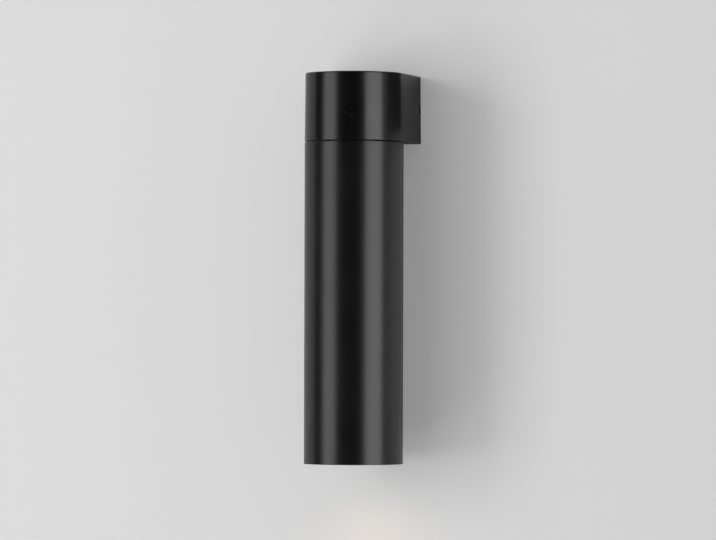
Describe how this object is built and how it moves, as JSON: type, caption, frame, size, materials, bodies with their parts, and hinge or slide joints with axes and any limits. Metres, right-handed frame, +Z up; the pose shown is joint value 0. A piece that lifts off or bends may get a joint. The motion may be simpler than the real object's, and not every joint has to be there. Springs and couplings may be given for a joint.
{
  "type": "wall light",
  "caption": "Outdoor wall downlight: a long black tube hangs under a D-shaped mounting head of the same width, with a twist-lock reflector lamp behind a round glass.",
  "frame": {"origin": "the middle of the head's flat back, where it meets the wall, at half of the head's height", "axes": "+Z up, +Y into the wall, +X to the right for someone who faces the wall"},
  "size_m": [0.076, 0.097, 0.3],
  "materials": {
    "zinc_steel": "satin",
    "black_coat": "satin",
    "rubber": "matte",
    "steel": "satin",
    "brass": "satin",
    "terminal_plastic": "matte",
    "white_nylon": "satin",
    "ceramic": "satin",
    "brown_sleeving": "satin",
    "blue_sleeving": "satin",
    "green_sleeving": "satin",
    "lamp_plastic": "satin",
    "lamp_metal": "satin",
    "white_board": "satin",
    "lamp_lens": "satin",
    "clear_glass": "gloss"
  },
  "bodies": {
    "fixture": {"wall_bracket": "zinc_steel", "centre_tube": "zinc_steel", "lock_washers": "zinc_steel", "lampholder_strap": "zinc_steel", "head_housing": "black_coat", "barrel": "black_coat", "barrel_top_plug": "black_coat", "rear_gasket": "rubber", "cable_grommet": "rubber", "head_seal": "rubber", "side_locking_screws": "steel", "terminal_screws": "steel", "terminal_fixing_screws": "steel", "bracket_earth_tag": "steel", "tube_nuts": "steel", "lampholder_screws": "steel", "strap_earth_tag": "steel", "terminal_sleeves": "brass", "bracket_earth_screw": "brass", "strap_earth_screw": "brass", "lampholder_contacts": "brass", "terminal_block": "terminal_plastic", "tube_end_bushes": "white_nylon", "lampholder_body": "ceramic", "lampholder_cover": "ceramic", "live_lead": "brown_sleeving", "neutral_lead": "blue_sleeving", "earth_lead": "green_sleeving", "bracket_earth_link": "green_sleeving"},
    "lamp": {"lamp_base": "lamp_plastic", "lamp_pins": "steel", "lamp_heatsink": "lamp_metal", "lamp_board": "white_board", "lamp_lens": "lamp_lens"},
    "front": {"front_ring": "black_coat", "front_glass": "clear_glass", "glass_gasket": "rubber", "glass_clip": "steel", "ring_seal": "rubber"}
  },
  "joints": [
    {"name": "lamp_twist", "type": "hinge", "parent": "fixture", "child": "lamp", "pos_m": [0, -0.059, -0.18], "axis": [0, 0, -1], "range_deg": [0, 30]},
    {"name": "front_ring_pull", "type": "slide", "parent": "fixture", "child": "front", "axis": [0, 0, -1], "range_m": [0, 0.03]}
  ]
}
